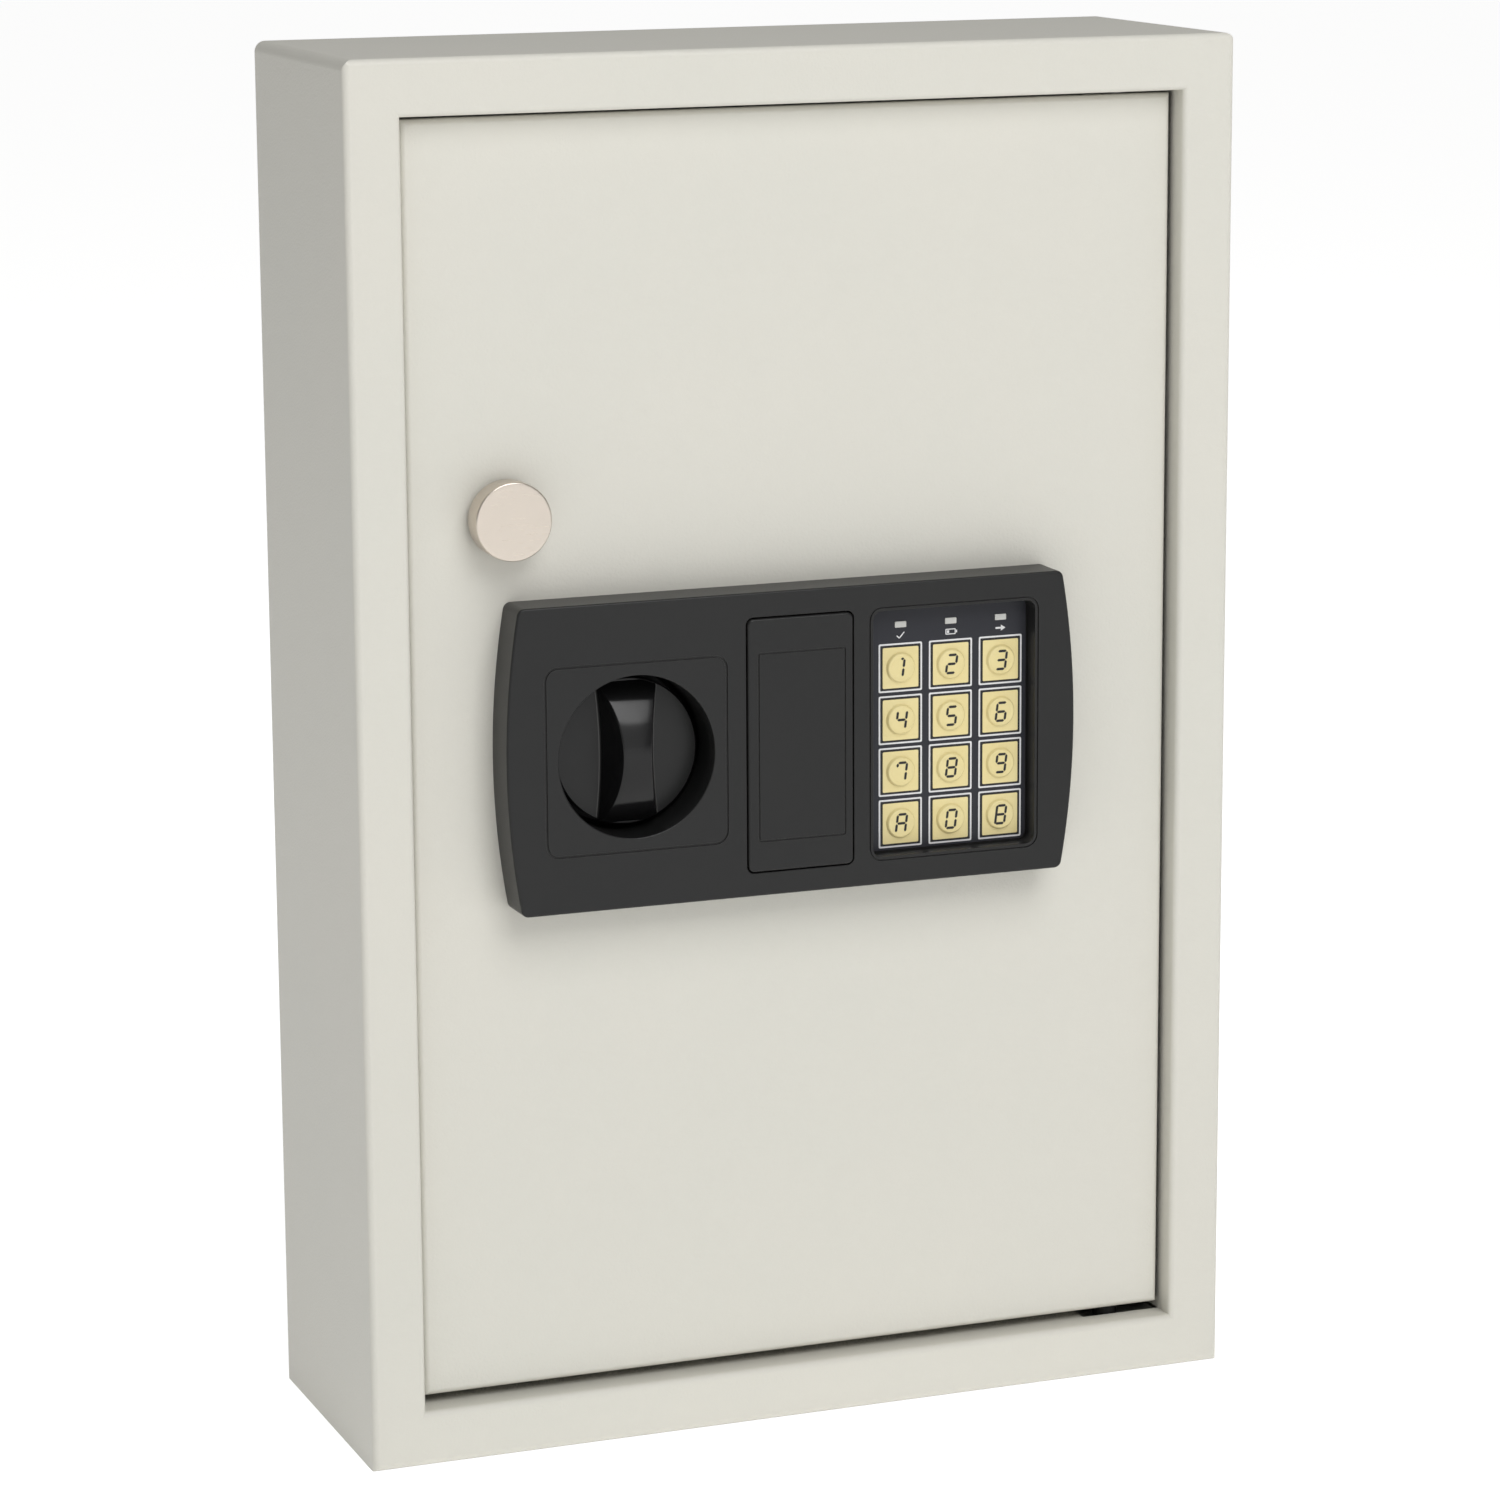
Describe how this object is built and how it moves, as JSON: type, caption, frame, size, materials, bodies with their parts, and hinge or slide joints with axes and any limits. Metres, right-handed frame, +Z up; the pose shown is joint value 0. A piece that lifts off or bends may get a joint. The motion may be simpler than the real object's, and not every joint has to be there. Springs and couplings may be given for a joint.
{
  "type": "electronic key cabinet safe",
  "caption": "Wall-mounted steel key cabinet with an inset hinged door, keypad and turn-knob lock panel, round locking bolts and inner key hooks.",
  "frame": {"origin": "centre of the underside of the box", "axes": "+X to the right seen from the front, +Y towards the wall, +Z up"},
  "size_m": [0.3, 0.1085, 0.45],
  "materials": {
    "powder_coat": "light warm grey powder coat, fine orange peel",
    "zinc_steel": "zinc-plated pressed steel",
    "bright_steel": "turned bright steel",
    "screw_zinc": "zinc-plated fastener",
    "satin_nickel": "satin nickel plate",
    "lock_brass": "turned brass",
    "bumper_rubber": "soft black rubber",
    "strip_white": "white printed strip",
    "panel_charcoal": "charcoal moulded plastic, fine grain",
    "film_slate": "dark slate printed film",
    "led_lens": "frosted light window",
    "key_gold": "pale gold printed key",
    "board_green": "green circuit board",
    "solenoid_case": "passivated yoke",
    "cover_grey": "dark grey powder coat",
    "plastic_black": "black moulded plastic",
    "knob_black": "black polished plastic",
    "cell_wrap": "plain dark cell sleeve",
    "button_red": "red push button"
  },
  "bodies": {
    "cabinet": {"cabinet_shell": "powder_coat", "back_panel": "powder_coat", "hinge_brackets": "zinc_steel", "hinge_washer": "plastic_black", "bolt_keeper": "zinc_steel", "door_stops": "powder_coat", "stop_bumpers": "bumper_rubber", "rack_rails": "zinc_steel", "rack_screws": "screw_zinc", "number_strips": "strip_white", "key_rack_1": "zinc_steel", "key_rack_2": "zinc_steel", "key_rack_3": "zinc_steel", "key_rack_4": "zinc_steel", "key_rack_5": "zinc_steel", "key_rack_6": "zinc_steel"},
    "door": {"door_panel": "powder_coat", "hinge_pins": "bright_steel", "hinge_blocks": "zinc_steel", "pull_knob": "satin_nickel", "pull_knob_screw": "screw_zinc", "panel_housing": "panel_charcoal", "panel_screws": "screw_zinc", "keypad_film": "film_slate", "led_windows": "led_lens", "circuit_board": "board_green", "override_lock_body": "satin_nickel", "lock_tray": "zinc_steel", "guide_studs": "screw_zinc", "solenoid_body": "solenoid_case", "lock_cover": "cover_grey", "cover_nuts": "screw_zinc", "battery_box": "plastic_black", "batteries": "cell_wrap"},
    "knob": {"turn_knob": "knob_black", "knob_shaft": "bright_steel", "knob_crank": "zinc_steel"},
    "bolts": {"bolt_plate": "zinc_steel", "locking_bolts": "bright_steel"},
    "override_cover": {"override_cover": "panel_charcoal"},
    "override_plug": {"override_plug": "lock_brass"},
    "plunger": {"solenoid_plunger": "bright_steel", "plunger_spring": "bright_steel"},
    "battery_cover": {"battery_cover": "plastic_black"},
    "code_button": {"code_button": "button_red"},
    "key_1": {"key_1": "key_gold"},
    "key_2": {"key_2": "key_gold"},
    "key_3": {"key_3": "key_gold"},
    "key_4": {"key_4": "key_gold"},
    "key_5": {"key_5": "key_gold"},
    "key_6": {"key_6": "key_gold"},
    "key_7": {"key_7": "key_gold"},
    "key_8": {"key_8": "key_gold"},
    "key_9": {"key_9": "key_gold"},
    "key_a": {"key_a": "key_gold"},
    "key_0": {"key_0": "key_gold"},
    "key_b": {"key_b": "key_gold"}
  },
  "joints": [
    {"name": "door_hinge", "type": "hinge", "parent": "cabinet", "child": "door", "pos_m": [0.114, -0.036, 0.225], "axis": [0, 0, 1], "range_deg": [0, 105]},
    {"name": "knob_turn", "type": "hinge", "parent": "door", "child": "knob", "pos_m": [-0.0605, -0.037, 0.229], "axis": [0, 1, 0], "range_deg": [0, 90]},
    {"name": "bolt_slide", "type": "slide", "parent": "door", "child": "bolts", "axis": [-1, 0, 0], "range_m": [0, 0.012]},
    {"name": "override_cover_pull", "type": "slide", "parent": "door", "child": "override_cover", "axis": [0, -1, 0], "range_m": [0, 0.025]},
    {"name": "override_turn", "type": "hinge", "parent": "door", "child": "override_plug", "pos_m": [-0.00495, -0.037, 0.229], "axis": [0, 1, 0], "range_deg": [0, 90]},
    {"name": "plunger_slide", "type": "slide", "parent": "door", "child": "plunger", "axis": [0, 0, 1], "range_m": [0, 0.005], "stiffness_N_per_m": 60, "deforming": ["plunger_spring"]},
    {"name": "battery_cover_pull", "type": "slide", "parent": "door", "child": "battery_cover", "axis": [0, 1, 0], "range_m": [0, 0.02]},
    {"name": "code_button_press", "type": "slide", "parent": "door", "child": "code_button", "axis": [0, -1, 0], "range_m": [0, 0.001], "stiffness_N_per_m": 800},
    {"name": "key_1_press", "type": "slide", "parent": "door", "child": "key_1", "axis": [0, 1, 0], "range_m": [0, 0.0005], "stiffness_N_per_m": 800},
    {"name": "key_2_press", "type": "slide", "parent": "door", "child": "key_2", "axis": [0, 1, 0], "range_m": [0, 0.0005], "stiffness_N_per_m": 800},
    {"name": "key_3_press", "type": "slide", "parent": "door", "child": "key_3", "axis": [0, 1, 0], "range_m": [0, 0.0005], "stiffness_N_per_m": 800},
    {"name": "key_4_press", "type": "slide", "parent": "door", "child": "key_4", "axis": [0, 1, 0], "range_m": [0, 0.0005], "stiffness_N_per_m": 800},
    {"name": "key_5_press", "type": "slide", "parent": "door", "child": "key_5", "axis": [0, 1, 0], "range_m": [0, 0.0005], "stiffness_N_per_m": 800},
    {"name": "key_6_press", "type": "slide", "parent": "door", "child": "key_6", "axis": [0, 1, 0], "range_m": [0, 0.0005], "stiffness_N_per_m": 800},
    {"name": "key_7_press", "type": "slide", "parent": "door", "child": "key_7", "axis": [0, 1, 0], "range_m": [0, 0.0005], "stiffness_N_per_m": 800},
    {"name": "key_8_press", "type": "slide", "parent": "door", "child": "key_8", "axis": [0, 1, 0], "range_m": [0, 0.0005], "stiffness_N_per_m": 800},
    {"name": "key_9_press", "type": "slide", "parent": "door", "child": "key_9", "axis": [0, 1, 0], "range_m": [0, 0.0005], "stiffness_N_per_m": 800},
    {"name": "key_a_press", "type": "slide", "parent": "door", "child": "key_a", "axis": [0, 1, 0], "range_m": [0, 0.0005], "stiffness_N_per_m": 800},
    {"name": "key_0_press", "type": "slide", "parent": "door", "child": "key_0", "axis": [0, 1, 0], "range_m": [0, 0.0005], "stiffness_N_per_m": 800},
    {"name": "key_b_press", "type": "slide", "parent": "door", "child": "key_b", "axis": [0, 1, 0], "range_m": [0, 0.0005], "stiffness_N_per_m": 800}
  ],
  "couplings": [
    {"joint": "knob_turn", "follows": "bolt_slide", "rad_per_m": 130.89}
  ]
}
